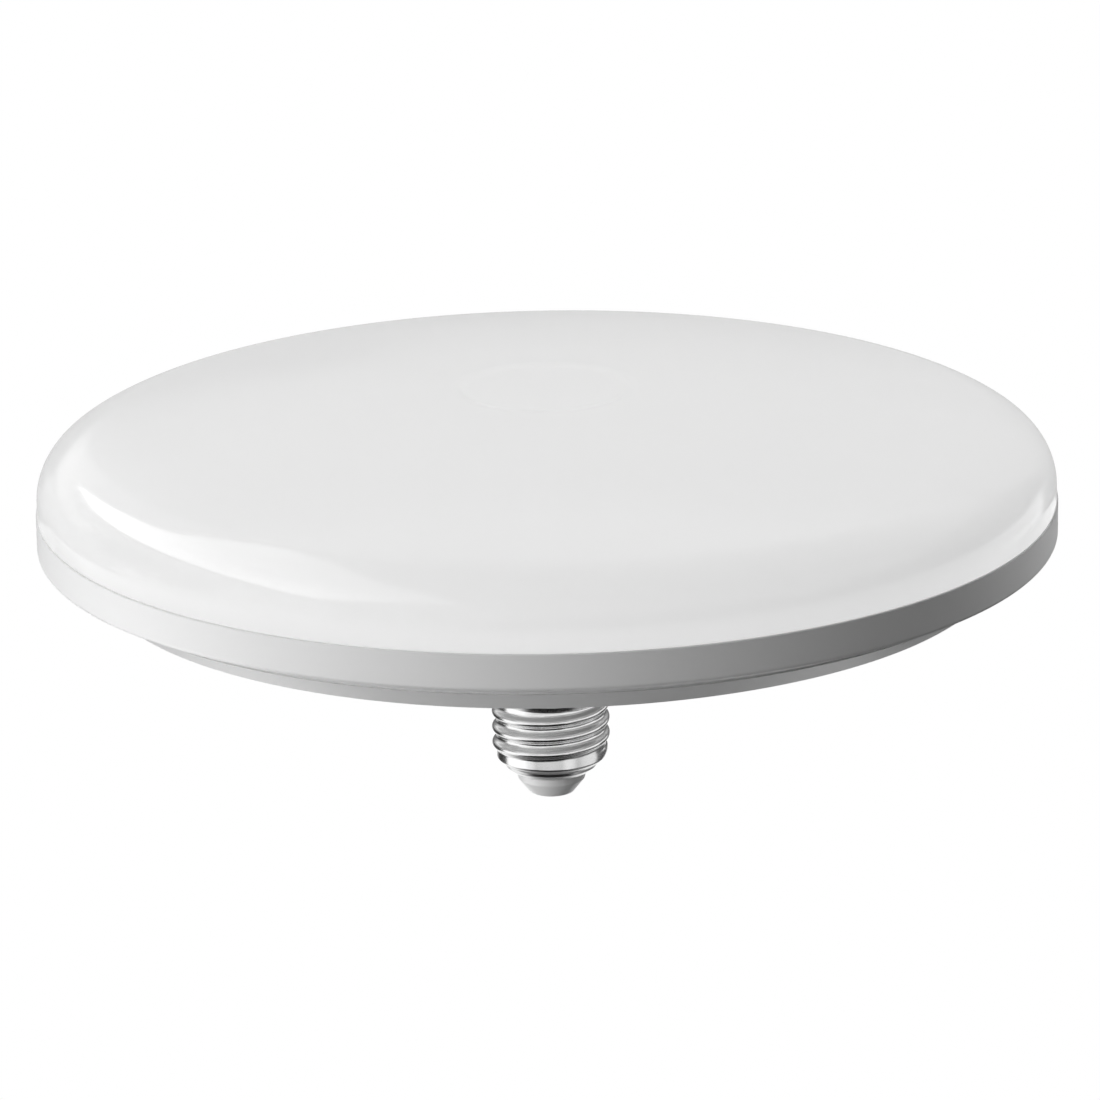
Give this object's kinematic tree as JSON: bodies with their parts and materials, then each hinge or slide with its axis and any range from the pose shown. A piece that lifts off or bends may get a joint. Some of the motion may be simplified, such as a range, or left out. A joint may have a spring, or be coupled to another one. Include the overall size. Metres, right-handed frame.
{
  "type": "led disc lamp",
  "caption": "Flat round LED lamp: a shallow opal dome snapped into a white ring, a stepped white back, a tapered neck and a screw cap, with LED board and driver inside.",
  "frame": {"origin": "centre of the flat face of the cap's centre contact, on the lamp's axis", "axes": "+Z along the lamp's axis, from the contact to the crown of the dome; +X to the right in the picture"},
  "size_m": [0.225, 0.225, 0.0941],
  "materials": {
    "opal_diffuser": "opal, glossy moulded",
    "white_housing": "white, satin moulded",
    "spreader_aluminium": "rolled sheet",
    "board_aluminium": "white solder resist on aluminium",
    "led_phosphor": "yellow phosphor in a white package",
    "screw_steel": "zinc plated",
    "connector_plastic": "white",
    "driver_laminate": "green solder resist",
    "black_package": "black moulded",
    "resistor_body": "blue-grey coated",
    "varistor_coat": "blue dipped",
    "film_case": "amber case",
    "can_sleeve": "dark sleeve",
    "ferrite": "grey-black ferrite",
    "copper_wire": "enamelled copper wire",
    "red_insulation": "flexible insulation",
    "black_insulation": "flexible insulation",
    "cap_nickel": "bright nickel plate",
    "insulator_white": "white moulded",
    "contact_nickel": "nickel plate, dull"
  },
  "bodies": {
    "root": {"diffuser": "opal_diffuser", "housing": "white_housing", "heat_sink_plate": "spreader_aluminium", "led_board": "board_aluminium", "led_chips": "led_phosphor", "board_screws": "screw_steel", "led_board_connector": "connector_plastic", "driver_board": "driver_laminate", "bridge_rectifier": "black_package", "fuse_resistor": "resistor_body", "varistor": "varistor_coat", "input_choke": "black_package", "film_capacitor": "film_case", "bulk_capacitor": "can_sleeve", "output_capacitor": "can_sleeve", "driver_chip": "black_package", "freewheel_diode": "black_package", "power_choke_core": "ferrite", "power_choke_winding": "copper_wire", "driver_screws": "screw_steel", "line_lead": "red_insulation", "neutral_lead": "black_insulation", "led_lead_positive": "red_insulation", "led_lead_negative": "black_insulation", "cap_shell": "cap_nickel", "cap_insulator": "insulator_white", "centre_contact": "contact_nickel"}
  },
  "joints": []
}
